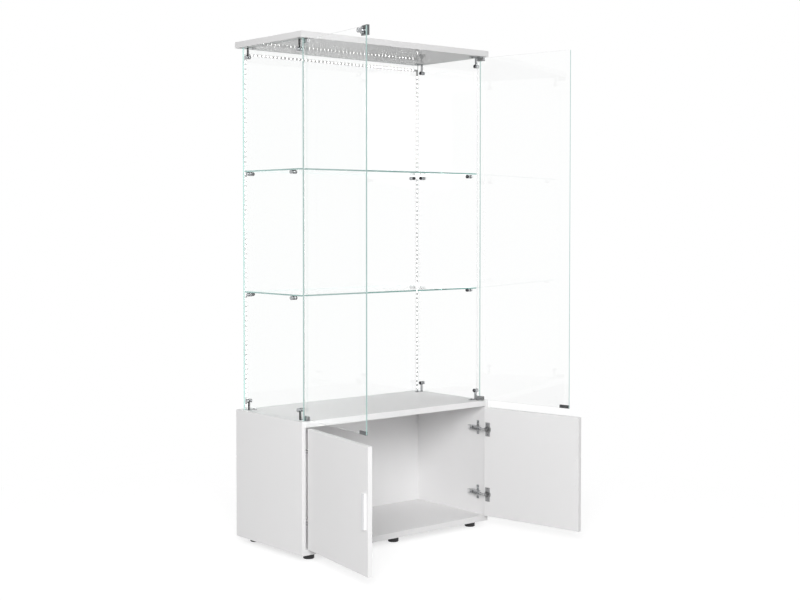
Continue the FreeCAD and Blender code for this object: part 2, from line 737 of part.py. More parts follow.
lever_angle = direction_of(lever_y, lever_x)
arm_link_angle = lever_angle - half_open - 90 + dim["link_bend"]
cup_link_angle = lever_angle + half_open + 90 - dim["link_bend"]
arm_link_spot = spot((-pivot_x, pivot_y, 0), ((0, 0, 1), arm_link_angle))
cup_link_spot = spot((lever_x, lever_y, 0), ((0, 0, 1), cup_link_angle))
left_arm_links = node("left_arm_links", links(arm_link_level), arm_link_spot)
left_cup_links = node("left_cup_links", links(cup_link_level), f"{left_turn} * {cup_link_spot}")


def long_edges(shape, side):
    """Edges along Z on the outer corners of a handle."""
    outer = shape.BoundBox.YMin
    found = []
    for index, edge in enumerate(shape.Edges, 1):
        box_of = edge.BoundBox
        if box_of.ZLength > side and abs(box_of.YMax - outer) < 1e-3:
            found.append(f"Edge{index}")
    return found


def pull_handle():
    """Low pull: a solid bar with a finger hollow open towards the hinge side."""
    half_width = dim["handle_width"] / 2
    body = new_body()
    section = rectangle(-half_width, -dim["handle_height"], half_width, 0)
    pad(body, sketch(body, "XY_Plane", section), dim["handle_length"], both_ways=True)
    hollow_back = half_width - dim["handle_wall"]
    hollow_front = dim["handle_wall"] - dim["handle_height"]
    hollow = rectangle(-half_width, hollow_front, hollow_back, -dim["handle_sole"])
    opening = dim["handle_length"] - dim["handle_end"] * 2
    pocket(body, sketch(body, "XY_Plane", hollow), opening, both_ways=True)
    spacing = dim["handle_screws"] / 2
    threads = [(dim["handle_wall"], sign * spacing, dim["handle_screw_radius"]) for sign in SIDES]
    pocket(body, sketch(body, "XZ_Plane", (), threads), dim["handle_screw_bite"], backwards=True)
    doc.recompute()
    hollowed = body.Tip
    rounding = body.newObject("PartDesign::Fillet", "Rounding")
    rounding.Base = (hollowed, long_edges(hollowed.Shape, dim["handle_end"].number))
    rounding.setExpression("Radius", dim["handle_round"].text)
    return body


handle_spot = f"{left_turn} * {spot((handle_x, outer_y, handle_z))}"
left_handle = node("left_handle", pull_handle(), handle_spot)
handle_screws = []
for z in handle_screw_heights:
    reach = dim["side_board"] - handle_sink + dim["handle_screw_bite"]
    fixing = screw(dim["handle_screw_head"], dim["handle_screw_radius"], reach)
    handle_screws.append(place(fixing, (handle_screw_x, inner_y - handle_sink, z), FORWARD))
left_handle_screws = node("left_handle_screws", group(handle_screws), left_turn)

right_pieces = {
    "right_base_door": left_door,
    "right_hinge_cups": left_cups,
    "right_cup_screws": left_cup_screws,
    "right_arm_links": left_arm_links,
    "right_cup_links": left_cup_links,
    "right_handle": left_handle,
    "right_handle_screws": left_handle_screws,
}
for label, piece in right_pieces.items():
    node(label, mirrored(piece))

# Fixed glass with its holes, shelves and pegs.
shelf_heights = {name: base_top + dim[f"{name}_shelf_height"] for name in ("lower", "upper")}
side_peg_rows = (front + dim["side_peg_front"], back - dim["side_peg_back"])
bracket_heights = (base_top + dim["bracket_bolt"], cap_under - dim["bracket_bolt"])
side_holes = [(y, z, dim["stem_hole"]) for y in bracket_rows for z in bracket_heights]
back_holes = []
for height in shelf_heights.values():
    peg_z = height - dim["peg_radius"]
    side_holes += [(y, peg_z, dim["stem_hole"]) for y in side_peg_rows]
    back_holes += [(side * (half - dim["back_peg_end"]), peg_z, dim["stem_hole"]) for side in SIDES]

side_pane = new_body()
side_outline = rectangle(case_front, base_top, case_back, cap_under)
pad(side_pane, sketch(side_pane, "YZ_Plane", side_outline, side_holes), dim["glass"])
left_pane = node("left_side_glass", side_pane, spot((-glass_outer, 0, 0)))
node("right_side_glass", mirrored(left_pane))

back_pane = new_body()
back_outline = rectangle(-glass_inner, base_top, glass_inner, cap_under)
pad(back_pane, sketch(back_pane, "XZ_Plane", back_outline, back_holes), dim["glass"], backwards=True)
node("back_glass", back_pane, spot((0, back_glass_inner, 0)))

peg_caps = []
for name, height in shelf_heights.items():
    shelf_x = glass_inner - dim["shelf_side"]
    shelf_low = (-shelf_x, front + dim["shelf_front"], height)
    shelf_high = (shelf_x, back_glass_inner - dim["shelf_back"], height + dim["glass"])
    node(f"{name}_shelf", box(shelf_low, shelf_high))
    peg_z = height - dim["peg_radius"]
    pegs = []
    for side in SIDES:
        inwards = RIGHT if side < 0 else LEFT
        outwards = LEFT if side < 0 else RIGHT
        for y in side_peg_rows:
            peg = studded(dim["peg_length"], dim["glass"])
            pegs.append(place(peg, (side * glass_inner, y, peg_z), inwards))
            cap_seat = (side * glass_outer, y, peg_z)
            peg_caps.append(rod(cap_seat, dim["peg_radius"], dim["cap_length"], outwards))
        x = side * (half - dim["back_peg_end"])
        peg = studded(dim["peg_length"], dim["glass"])
        pegs.append(place(peg, (x, back_glass_inner, peg_z), FORWARD))
        peg_caps.append(rod((x, case_back, peg_z), dim["peg_radius"], dim["cap_length"], BACK))
    node(f"{name}_shelf_pegs", group(pegs))
node("shelf_peg_caps", group(peg_caps))

# Light strip on the back glass.
led_x = half - dim["led_end"]
led_z = cap_under - dim["led_drop"]
led_half = dim["led_width"] / 2
led_front = back_glass_inner - dim["led_height"]
led_low = base_top + dim["led_foot"]
strips = []
for side in SIDES:
    upright_low = (side * led_x - led_half, led_front, led_low)
    upright_high = (side * led_x + led_half, back_glass_inner, led_z - led_half)
    strips.append(box(upright_low, upright_high))
top_low = (-led_x - led_half, led_front, led_z - led_half)
top_high = (led_x + led_half, back_glass_inner, led_z + led_half)
strips.append(box(top_low, top_high))
node("led_strip", group(strips))


def glass_door(name, side, angle):
    """Pivoting door, built closed with its pivot at the origin; +X runs to the free edge on the left."""
    frame = spot((side * door_pivot_x, door_pivot_y, 0), ((0, 0, 1), side * angle))
    run = -side
    holes = [(barrel_x, barrel_z, dim["barrel_hole"])] if side < 0 else []
    pane = new_body()
    outline = rectangle(run * -dim["glass_door_heel"], door_bottom, run * door_reach, door_top)
    pad(pane, sketch(pane, "XZ_Plane", outline, holes), dim["glass"], both_ways=True)
    node(f"{name}_glass_door", pane, frame)

    clamps = []
    pins = []
    for level, edge, upwards in (("bottom", door_bottom, 1), ("top", door_top, -1)):
        foot = edge - upwards * dim["clamp_web"]
        height = dim["clamp_web"] + dim["clamp_grip"]
        low = foot if upwards > 0 else foot - height
        slab_low = (min(0, run) * dim["clamp_length"], -dim["clamp_radius"], low)
        slab_high = (max(0, run) * dim["clamp_length"], dim["clamp_radius"], low + height)
        slot_from = -run * dim["glass_door_heel"]
        slot_to = run * dim["clamp_length"]
        slot_x = (slot_from, slot_to) if side < 0 else (slot_to, slot_from)
        slot_z = (edge, edge + dim["clamp_grip"]) if upwards > 0 else (edge - dim["clamp_grip"], edge)
        slot = box((slot_x[0], -half_glass, slot_z[0]), (slot_x[1], half_glass, slot_z[1]))
        pin_turn = UP if upwards > 0 else DOWN
        pin_hole = rod((0, 0, foot), dim["pin_radius"], dim["clamp_web"], pin_turn)
        shell = join([box(slab_low, slab_high), rod((0, 0, low), dim["clamp_radius"], height)])
        clamps.append(cut(shell, [slot, pin_hole]))
        board_face = bracket_boards[level][0]
        pin_start = (0, 0, board_face - upwards * (dim["pin_depth"] - dim["slide_gap"]))
        pin_length = dim["pin_depth"] - dim["slide_gap"] + (edge - board_face) * upwards
        pins.append(rod(pin_start, dim["pin_radius"], pin_length, pin_turn))
    node(f"{name}_door_clamps", group(clamps), frame)
    node(f"{name}_door_pivots", group(pins), frame)

    wall = half_glass + dim["clip_wall"]
    clip_body = new_body()
    section = [
        (-wall, -dim["clip_wall"]),
        (wall, -dim["clip_wall"]),
        (wall, dim["clip_height"]),
        (half_glass, dim["clip_height"]),
        (half_glass, 0),
        (-half_glass, 0),
        (-half_glass, dim["clip_height"]),
        (-wall, dim["clip_height"]),
    ]
    pad(clip_body, sketch(clip_body, "YZ_Plane", section), dim["clip_length"])
    clip_x = door_reach - dim["clip_length"] if side < 0 else -door_reach
    node(f"{name}_edge_clip", clip_body, f"{frame} * {spot((clip_x, 0, door_bottom))}")
    return frame


left_frame = glass_door("left", -1, dim["left_door_open"])
glass_door("right", 1, dim["right_door_open"])

# Lock on the left glass door: case inside, barrel through the glass, bolt that rises into the cap.
case_low = (door_reach - dim["lock_width"], half_glass, bolt_top - dim["lock_height"])
case_high = (door_reach, half_glass + dim["lock_depth"], bolt_top)
bolt_x = barrel_x - dim["bolt_width"] / 2
play = dim["slide_gap"]
bolt_foot = bolt_top - dim["bolt_length"]
channel_low = (bolt_x - play, bolt_near - play, bolt_foot - play)
channel_high = (bolt_x + dim["bolt_width"] + play, bolt_far + play, bolt_top)
seat_radius = dim["barrel_radius"] + dim["running_gap"]
barrel_seat = rod((barrel_x, half_glass, barrel_z), seat_radius, dim["barrel_seat"], BACK)
node("lock_case", cut(box(case_low, case_high), [box(channel_low, channel_high), barrel_seat]), left_frame)

bolt_low = (bolt_x, bolt_near, bolt_foot)
bolt_high = (bolt_x + dim["bolt_width"], bolt_far, bolt_top)
node("lock_bolt", box(bolt_low, bolt_high, left_frame))

barrel_end = -dim["barrel_reach"]
barrel_length = dim["barrel_reach"] + half_glass + dim["barrel_seat"] - dim["slide_gap"]
barrel = rod((barrel_x, barrel_end, barrel_z), dim["barrel_radius"], barrel_length, BACK)
key_low = (barrel_x - dim["keyway_width"] / 2, barrel_end, barrel_z - dim["keyway_height"] / 2)
key_high = (
    barrel_x + dim["keyway_width"] / 2,
    barrel_end + dim["keyway_depth"],
    barrel_z + dim["keyway_height"] / 2,
)
node("lock_barrel", cut(barrel, [box(key_low, key_high)]), left_frame)

rosette = new_body()
ring = [(0, 0, dim["rosette_radius"]), (0, 0, dim["barrel_radius"] + dim["running_gap"])]
pad(rosette, sketch(rosette, "XZ_Plane", (), ring), dim["rosette_height"])
node("lock_rosette", rosette, f"{left_frame} * {spot((barrel_x, -half_glass, barrel_z))}")

doc.recompute()
for item in doc.Objects:
    if "Invalid" in item.State or "Error" in item.State:
        raise RuntimeError(f"{item.Label} did not compute: {item.State}")
for piece in nodes:
    shape = piece.Shape
    if shape.isNull() or not shape.isValid() or not shape.Solids:
        raise RuntimeError(f"{piece.Label} has no valid solid")
    print(piece.Label, len(shape.Solids), round(shape.Volume))

os.makedirs("parts", exist_ok=True)
for piece in nodes:
    piece.Shape.exportStep(f"parts/{piece.Label}.step")
print(len(nodes), "parts written")
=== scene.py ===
# %% [markdown]
# # A glass display cabinet
# The object is a shop showcase: a white laminated base with two hinged doors, and above it a
# glass case with two pivoting glass doors, two glass shelves, a white cap, a lock and a light strip.
# The boards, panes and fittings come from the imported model, in metres and in their real places.
# This lesson gives them their finishes and adds the small things that only show up close.

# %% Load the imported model
import json
import math
import bpy
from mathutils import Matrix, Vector


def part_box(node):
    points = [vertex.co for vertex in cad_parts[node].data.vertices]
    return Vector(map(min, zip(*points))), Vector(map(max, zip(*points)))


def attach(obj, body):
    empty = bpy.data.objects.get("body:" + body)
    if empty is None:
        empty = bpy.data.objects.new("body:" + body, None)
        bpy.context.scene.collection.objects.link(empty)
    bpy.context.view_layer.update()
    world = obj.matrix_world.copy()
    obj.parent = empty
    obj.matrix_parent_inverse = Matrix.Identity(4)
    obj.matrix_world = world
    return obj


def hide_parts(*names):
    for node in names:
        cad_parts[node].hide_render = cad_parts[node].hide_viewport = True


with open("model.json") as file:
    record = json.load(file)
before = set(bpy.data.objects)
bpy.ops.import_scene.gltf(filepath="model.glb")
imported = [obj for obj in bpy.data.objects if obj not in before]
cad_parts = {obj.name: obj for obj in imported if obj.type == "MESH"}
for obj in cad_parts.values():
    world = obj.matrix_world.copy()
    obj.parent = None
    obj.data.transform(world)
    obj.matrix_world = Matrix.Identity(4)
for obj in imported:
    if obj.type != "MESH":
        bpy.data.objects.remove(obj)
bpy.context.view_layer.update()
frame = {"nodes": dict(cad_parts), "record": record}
nodes = frame["nodes"]

# %% [markdown]
# ## The camera
# The photograph was taken a little above the middle of the cabinet, from its front left.
# Solving the perspective of the board edges gave the place, the turn and the focal length.
# The picture was cropped a little off centre, which the two small shifts repeat.

# %% Place the camera
bpy.ops.object.camera_add(location=(-3.2277, -3.8274, 1.2002))
camera = bpy.context.object
camera.name = "photo_camera"
camera.rotation_euler = (math.radians(88.206), 0, math.radians(-39.96))
camera.data.sensor_width = 36
camera.data.lens = 60.77
camera.data.shift_x = 0.0138
camera.data.shift_y = -0.0478
bpy.context.scene.camera = camera
bpy.context.scene.view_settings.view_transform = "Standard"
print("camera at", tuple(round(v, 3) for v in camera.location))

# %% [markdown]
# ## Small helpers for node trees
# Every finish below is a node tree, so four short helpers save a lot of repetition: one makes a node,
# one joins two sockets, one makes a shader node group with named inputs and outputs, and one starts
# a material and hands back its shader.

# %% Node helpers
def add_node(tree, kind, x=0, y=0, **settings):
    made = tree.nodes.new(kind)
    made.location = (x, y)
    for name, value in settings.items():
        setattr(made, name, value)
    return made


def wire(tree, source, target):
    tree.links.new(source, target)


def new_group(name, inputs, outputs):
    group = bpy.data.node_groups.new(name, "ShaderNodeTree")
    for socket, kind, value in inputs:
        made = group.interface.new_socket(name=socket, in_out="INPUT", socket_type=kind)
        made.default_value = value
    for socket, kind in outputs:
        group.interface.new_socket(name=socket, in_out="OUTPUT", socket_type=kind)
    start = add_node(group, "NodeGroupInput", -900, 0)
    end = add_node(group, "NodeGroupOutput", 900, 0)
    return group, start, end


def new_material(name):
    material = bpy.data.materials.new(name)
    material.use_nodes = True
    tree = material.node_tree
    shader = tree.nodes["Principled BSDF"]
    return material, tree, shader


print("node helpers ready")

# %% [markdown]
# ## Studio
# The photograph shows the cabinet cut out on pure white, in very even light. A pale world does most
# of the lighting. Rays that come straight from the camera, or by reflection or through glass, see
# it as plain white, and all other rays get a softer level so that the boards keep their shading.
# A ray that left a board and then crossed a pane counts as such a softer one. The world and the
# floor both need this choice, so it is written once.

# %% Rays that see white
def white_share(tree, x, y):
    path = add_node(tree, "ShaderNodeLightPath", x, y)
    seen = add_node(tree, "ShaderNodeMath", x + 250, y + 60, operation="MAXIMUM")
    wire(tree, path.outputs["Is Camera Ray"], seen.inputs[0])
    wire(tree, path.outputs["Is Glossy Ray"], seen.inputs[1])
    shown = add_node(tree, "ShaderNodeMath", x + 450, y + 60, operation="MAXIMUM")
    wire(tree, seen.outputs[0], shown.inputs[0])
    wire(tree, path.outputs["Is Transmission Ray"], shown.inputs[1])
    straight = add_node(tree, "ShaderNodeMath", x + 250, y - 150, operation="LESS_THAN")
    straight.inputs[1].default_value = 0.5
    wire(tree, path.outputs["Diffuse Depth"], straight.inputs[0])
    share = add_node(tree, "ShaderNodeMath", x + 650, y + 60, operation="MULTIPLY")
    wire(tree, shown.outputs[0], share.inputs[0])
    wire(tree, straight.outputs[0], share.inputs[1])
    return share.outputs[0]


print("white_share ready")

# %% [markdown]
# The world has two strengths: 1 where white is seen, and about half of that where it is only light.

# %% The world
world = bpy.data.worlds.new("studio")
world.use_nodes = True
bpy.context.scene.world = world
tree = world.node_tree
tree.nodes.clear()
soft_sky = add_node(tree, "ShaderNodeBackground", -250, -60)
soft_sky.inputs["Color"].default_value = (1.0, 1.0, 1.0, 1)
soft_sky.inputs["Strength"].default_value = 0.52
white_sky = add_node(tree, "ShaderNodeBackground", -250, -200)
white_sky.inputs["Strength"].default_value = 1.0
white_sky.inputs["Color"].default_value = (1, 1, 1, 1)
choose = add_node(tree, "ShaderNodeMixShader", 0, 0)
wire(tree, white_share(tree, -900, 0), choose.inputs["Fac"])
wire(tree, soft_sky.outputs[0], choose.inputs[1])
wire(tree, white_sky.outputs[0], choose.inputs[2])
out = add_node(tree, "ShaderNodeOutputWorld", 250, 0)
wire(tree, choose.outputs[0], out.inputs["Surface"])
print("world ready")

# %% [markdown]
# One large soft panel stands at the front left, above the cap, so that its underside stays in shade
# while light still reaches into the open base. It is larger than the object: no shadow is hard.

# %% The light panel
def light_panel(name, place, aim, size, power):
    bpy.ops.object.light_add(type="AREA", location=place)
    lamp = bpy.context.object
    lamp.name = name
    lamp.data.shape = "DISK"
    lamp.data.size = size
    lamp.data.energy = power
    lamp.rotation_euler = (Vector(aim) - Vector(place)).to_track_quat("-Z", "Y").to_euler()
    lamp.visible_camera = False
    lamp.visible_transmission = False


light_panel("front_left_panel", place=(-3.6, -4.1, 2.6), aim=(0, 0.1, 0.7), size=2.4, power=212)
print("one panel lit")

# %% [markdown]
# The floor is a plain white sheet. For the light it sends back to the cabinet it is ordinary matte
# paper. Seen by the camera, in a mirror or through glass it is lifted to white, but still takes the
# cabinet's shadow; further out it fades into the white of the world, so no horizon shows.

# %% Floor paper
bpy.ops.object.select_all(action="DESELECT")
bpy.ops.mesh.primitive_plane_add(size=60, location=(0, 0, 0))
floor = bpy.context.object
floor.name = "floor"
floor_paper, tree, shader = new_material("floor_paper")
shader.inputs["Base Color"].default_value = (0.55, 0.55, 0.55, 1)
shader.inputs["Roughness"].default_value = 0.9
shader.inputs["Specular IOR Level"].default_value = 0.0
shadow_catch = add_node(tree, "ShaderNodeBsdfDiffuse", -300, -250)
shadow_catch.inputs["Color"].default_value = (0.42, 0.42, 0.42, 1)
paper_glow = add_node(tree, "ShaderNodeEmission", -300, -400)
paper_glow.inputs["Strength"].default_value = 0.72
lifted = add_node(tree, "ShaderNodeAddShader", -50, -300)
wire(tree, shadow_catch.outputs[0], lifted.inputs[0])
wire(tree, paper_glow.outputs[0], lifted.inputs[1])
place = add_node(tree, "ShaderNodeTexCoord", -900, -200)
reach = add_node(tree, "ShaderNodeVectorMath", -700, -200, operation="LENGTH")
wire(tree, place.outputs["Object"], reach.inputs[0])
fade = add_node(tree, "ShaderNodeMapRange", -500, -200, interpolation_type="SMOOTHSTEP")
fade.inputs["From Min"].default_value = 0.8
fade.inputs["From Max"].default_value = 2.0
wire(tree, reach.outputs["Value"], fade.inputs["Value"])
print("paper and its fade ready")

# %% [markdown]
# The near paper and the far white are mixed by that fade, and the choice between what is seen and
# what lights the cabinet is the same as in the world.

# %% Lay the floor
paper_white = add_node(tree, "ShaderNodeEmission", -50, -450)
far_and_near = add_node(tree, "ShaderNodeMixShader", 150, -300)
wire(tree, fade.outputs["Result"], far_and_near.inputs["Fac"])
wire(tree, lifted.outputs[0], far_and_near.inputs[1])
wire(tree, paper_white.outputs[0], far_and_near.inputs[2])
choose = add_node(tree, "ShaderNodeMixShader", 350, 0)
wire(tree, white_share(tree, -900, -600), choose.inputs["Fac"])
wire(tree, shader.outputs[0], choose.inputs[1])
wire(tree, far_and_near.outputs[0], choose.inputs[2])
wire(tree, choose.outputs[0], tree.nodes["Material Output"].inputs["Surface"])
floor.data.materials.append(floor_paper)
print("floor laid")

# %% [markdown]
# ## Shared effects
# Real surfaces are never one even colour. `faint_cloud` is a slow, hardly visible change of tone
# with a finer grain on top. It gives a colour, a roughness and a height for a fine bump.

# %% Faint cloud
faint_cloud, start, end = new_group(
    "faint_cloud",
    [
        ("Light", "NodeSocketColor", (0.86, 0.86, 0.86, 1)),
        ("Dark", "NodeSocketColor", (0.84, 0.84, 0.84, 1)),
        ("Scale", "NodeSocketFloat", 3.0),
        ("Smooth", "NodeSocketFloat", 0.18),
        ("Rough", "NodeSocketFloat", 0.26),
    ],
    [("Color", "NodeSocketColor"), ("Roughness", "NodeSocketFloat"), ("Grain", "NodeSocketFloat")],
)
place = add_node(faint_cloud, "ShaderNodeTexCoord", -900, -300)
slow = add_node(faint_cloud, "ShaderNodeTexNoise", -600, 150)
slow.inputs["Detail"].default_value = 4
wire(faint_cloud, place.outputs["Object"], slow.inputs["Vector"])
wire(faint_cloud, start.outputs["Scale"], slow.inputs["Scale"])
tone = add_node(faint_cloud, "ShaderNodeMix", 200, 200, data_type="RGBA")
wire(faint_cloud, slow.outputs["Fac"], tone.inputs["Factor"])
wire(faint_cloud, start.outputs["Dark"], tone.inputs[6])
wire(faint_cloud, start.outputs["Light"], tone.inputs[7])
wire(faint_cloud, tone.outputs[2], end.inputs["Color"])
finer = add_node(faint_cloud, "ShaderNodeMath", -600, -100, operation="MULTIPLY")
finer.inputs[1].default_value = 9.0
wire(faint_cloud, start.outputs["Scale"], finer.inputs[0])
smudge = add_node(faint_cloud, "ShaderNodeTexNoise", -350, -100)
smudge.inputs["Detail"].default_value = 3
wire(faint_cloud, place.outputs["Object"], smudge.inputs["Vector"])
wire(faint_cloud, finer.outputs[0], smudge.inputs["Scale"])
shine = add_node(faint_cloud, "ShaderNodeMapRange", 200, -50)
wire(faint_cloud, smudge.outputs["Fac"], shine.inputs["Value"])
wire(faint_cloud, start.outputs["Smooth"], shine.inputs["To Min"])
wire(faint_cloud, start.outputs["Rough"], shine.inputs["To Max"])
wire(faint_cloud, shine.outputs["Result"], end.inputs["Roughness"])
peel = add_node(faint_cloud, "ShaderNodeTexNoise", -350, -350)
peel.inputs["Scale"].default_value = 420
wire(faint_cloud, place.outputs["Object"], peel.inputs["Vector"])
wire(faint_cloud, peel.outputs["Fac"], end.inputs["Grain"])
print("faint_cloud ready")

# %% [markdown]
# `pane_edge` finds the narrow edge faces of a pane: there the object-space normal turns away from
# the direction that the pane faces. That mask chooses between the clear face and the tinted edge,
# and it also says where the pane covers fully and where a ground edge is rough.

# %% Pane edge: mask and colour
pane_edge, start, end = new_group(
    "pane_edge",
    [
        ("Across", "NodeSocketVector", (1, 0, 0)),
        ("Face", "NodeSocketColor", (0.99, 0.995, 0.993, 1)),
        ("Edge", "NodeSocketColor", (0.12, 0.17, 0.16, 1)),
        ("Face Alpha", "NodeSocketFloat", 1.0),
        # Edge Light and Inner Light are colours of a painted glow on the edges, seen from outside and
        # from inside.
        ("Edge Light", "NodeSocketColor", (0.43, 0.59, 0.56, 1)),
        ("Inner Light", "NodeSocketColor", (0, 0, 0, 1)),
        ("Edge Roughness", "NodeSocketFloat", 0.0),
    ],
    [
        ("Color", "NodeSocketColor"),
        ("Glow", "NodeSocketColor"),
        ("Inner Glow", "NodeSocketColor"),
        ("Alpha", "NodeSocketFloat"),
        ("Roughness", "NodeSocketFloat"),
    ],
)
place = add_node(pane_edge, "ShaderNodeTexCoord", -900, -300)
facing = add_node(pane_edge, "ShaderNodeVectorMath", -600, 0, operation="DOT_PRODUCT")
wire(pane_edge, place.outputs["Normal"], facing.inputs[0])
wire(pane_edge, start.outputs["Across"], facing.inputs[1])
size_of = add_node(pane_edge, "ShaderNodeMath", -400, 0, operation="ABSOLUTE")
wire(pane_edge, facing.outputs["Value"], size_of.inputs[0])
mask = add_node(pane_edge, "ShaderNodeMapRange", -200, 0)
mask.inputs["From Min"].default_value = 0.7
mask.inputs["From Max"].default_value = 0.5
wire(pane_edge, size_of.outputs[0], mask.inputs["Value"])
tone = add_node(pane_edge, "ShaderNodeMix", 200, 100, data_type="RGBA")
wire(pane_edge, mask.outputs["Result"], tone.inputs["Factor"])
wire(pane_edge, start.outputs["Face"], tone.inputs[6])
wire(pane_edge, start.outputs["Edge"], tone.inputs[7])
wire(pane_edge, tone.outputs[2], end.inputs["Color"])
print("edge mask ready")

# %% [markdown]
# The cut edge gets a painted glow, uneven along its length, so a noise fades the glow in places. Seen
# from inside the glass the edge has a painted glow of its own.

# %% Pane edge: glow, cover and roughness
uneven_glow_noise = add_node(pane_edge, "ShaderNodeTexNoise", -600, -300)
uneven_glow_noise.inputs["Scale"].default_value = 24
wire(pane_edge, place.outputs["Object"], uneven_glow_noise.inputs["Vector"])
glow = add_node(pane_edge, "ShaderNodeMix", -100, -300, data_type="RGBA")
faded = add_node(pane_edge, "ShaderNodeMix", -350, -400, data_type="RGBA", blend_type="MULTIPLY")
faded.inputs["Factor"].default_value = 1.0
faded.inputs[7].default_value = (0.8, 0.82, 0.82, 1)
wire(pane_edge, start.outputs["Edge Light"], faded.inputs[6])
wire(pane_edge, faded.outputs[2], glow.inputs[6])
wire(pane_edge, start.outputs["Edge Light"], glow.inputs[7])
wire(pane_edge, uneven_glow_noise.outputs["Fac"], glow.inputs["Factor"])
lit_edge = add_node(pane_edge, "ShaderNodeMix", 200, -200, data_type="RGBA")
lit_edge.inputs[6].default_value = (0, 0, 0, 1)
wire(pane_edge, mask.outputs["Result"], lit_edge.inputs["Factor"])
wire(pane_edge, glow.outputs[2], lit_edge.inputs[7])
wire(pane_edge, lit_edge.outputs[2], end.inputs["Glow"])
lit_inside = add_node(pane_edge, "ShaderNodeMix", 400, -300, data_type="RGBA")
lit_inside.inputs[6].default_value = (0, 0, 0, 1)
wire(pane_edge, mask.outputs["Result"], lit_inside.inputs["Factor"])
wire(pane_edge, start.outputs["Inner Light"], lit_inside.inputs[7])
wire(pane_edge, lit_inside.outputs[2], end.inputs["Inner Glow"])
cover = add_node(pane_edge, "ShaderNodeMath", 200, -450, operation="MAXIMUM")
wire(pane_edge, mask.outputs["Result"], cover.inputs[0])
wire(pane_edge, start.outputs["Face Alpha"], cover.inputs[1])
wire(pane_edge, cover.outputs[0], end.inputs["Alpha"])
ground = add_node(pane_edge, "ShaderNodeMath", 200, -650, operation="MULTIPLY")
wire(pane_edge, mask.outputs["Result"], ground.inputs[0])
wire(pane_edge, start.outputs["Edge Roughness"], ground.inputs[1])
wire(pane_edge, ground.outputs[0], end.inputs["Roughness"])
print("pane_edge ready")

# %% [markdown]
# ## Finishes
# `cloudy` makes the common kind: a Principled shader whose colour and roughness come from
# `faint_cloud`, with a very fine bump. The values differ from finish to finish. The boards' laminates
# also have a thin clear lacquer over them, which is the shader's coat.

# %% Laminates
def cloudy(name, light, dark, scale, smooth, rough, bump, metallic=0.0, rounded=0.0, gloss=0.5):
    material, tree, shader = new_material(name)
    cloud = add_node(tree, "ShaderNodeGroup", -500, 0, node_tree=faint_cloud)
    cloud.inputs["Light"].default_value = (*light, 1)
    cloud.inputs["Dark"].default_value = (*dark, 1)
    cloud.inputs["Scale"].default_value = scale
    cloud.inputs["Smooth"].default_value = smooth
    cloud.inputs["Rough"].default_value = rough
    wire(tree, cloud.outputs["Color"], shader.inputs["Base Color"])
    wire(tree, cloud.outputs["Roughness"], shader.inputs["Roughness"])
    shader.inputs["Metallic"].default_value = metallic
    shader.inputs["Specular IOR Level"].default_value = gloss
    relief = add_node(tree, "ShaderNodeBump", -250, -250)
    relief.inputs["Strength"].default_value = bump
    relief.inputs["Distance"].default_value = 0.0002
    wire(tree, cloud.outputs["Grain"], relief.inputs["Height"])
    if rounded:
        eased = add_node(tree, "ShaderNodeBevel", -500, -400, samples=4)
        eased.inputs["Radius"].default_value = rounded
        wire(tree, eased.outputs["Normal"], relief.inputs["Normal"])
    wire(tree, relief.outputs["Normal"], shader.inputs["Normal"])
    return material


def lacquer(material, weight, roughness):
    shader = material.node_tree.nodes["Principled BSDF"]
    shader.inputs["Coat Weight"].default_value = weight
    shader.inputs["Coat Roughness"].default_value = roughness


white_laminate = cloudy(
    "white_laminate", light=(0.885, 0.88, 0.882), dark=(0.87, 0.865, 0.867),
    scale=2.5, smooth=0.3, rough=0.4, bump=0.03, rounded=0.0008, gloss=0.0,
)
lacquer(white_laminate, weight=0.22, roughness=0.14)
# The cap's laminate is darker than the base's: painted shade for the cap's underside.
painted_shade_cap_laminate = cloudy(
    "painted_shade_cap_laminate", light=(0.765, 0.76, 0.762), dark=(0.75, 0.745, 0.747),
    scale=2.5, smooth=0.3, rough=0.4, bump=0.03, rounded=0.0008, gloss=0.0,
)
lacquer(painted_shade_cap_laminate, weight=0.48, roughness=0.068)
print("two laminates")

# %% [markdown]
# The fittings are chrome, zinc and a dark grey metal, the feet black plastic, the dowels beech. The
# strip's tape and chip cases are plain plastics.

# %% Metals, plastics and wood
black_plastic = cloudy(
    "black_plastic", light=(0.022, 0.022, 0.024), dark=(0.012, 0.012, 0.013),
    scale=30, smooth=0.42, rough=0.55, bump=0.25, rounded=0.0006,
)
bright_chrome = cloudy(
    "bright_chrome", light=(0.46, 0.47, 0.48), dark=(0.36, 0.37, 0.38),
    scale=25, smooth=0.06, rough=0.16, bump=0.02, metallic=1.0, rounded=0.0006,
)
bright_zinc = cloudy(
    "bright_zinc", light=(0.6, 0.61, 0.62), dark=(0.5, 0.51, 0.52),
    scale=40, smooth=0.16, rough=0.3, bump=0.08, metallic=1.0, rounded=0.0003,
)
dull_zinc = cloudy(
    "dull_zinc", light=(0.4, 0.4, 0.405), dark=(0.33, 0.33, 0.335),
    scale=40, smooth=0.35, rough=0.5, bump=0.08, metallic=0.4, rounded=0.0003,
)
grey_metal = cloudy(
    "grey_metal", light=(0.17, 0.175, 0.18), dark=(0.12, 0.125, 0.13),
    scale=35, smooth=0.28, rough=0.4, bump=0.1, metallic=0.8, rounded=0.0004,
)
beech = cloudy(
    "beech", light=(0.72, 0.52, 0.32), dark=(0.6, 0.42, 0.25),
    scale=60, smooth=0.5, rough=0.65, bump=0.3,
)
strip_tape = cloudy(
    "strip_tape", light=(0.7, 0.695, 0.695), dark=(0.62, 0.615, 0.615),
    scale=60, smooth=0.35, rough=0.5, bump=0.1,
)
chip_case = cloudy(
    "chip_case", light=(0.86, 0.86, 0.85), dark=(0.8, 0.8, 0.79),
    scale=300, smooth=0.3, rough=0.4, bump=0.1,
)
dark_chrome = cloudy(
    "dark_chrome", light=(0.4, 0.405, 0.41), dark=(0.29, 0.295, 0.3),
    scale=25, smooth=0.08, rough=0.18, bump=0.02, metallic=1.0, rounded=0.0006,
)
print("nine more finishes")
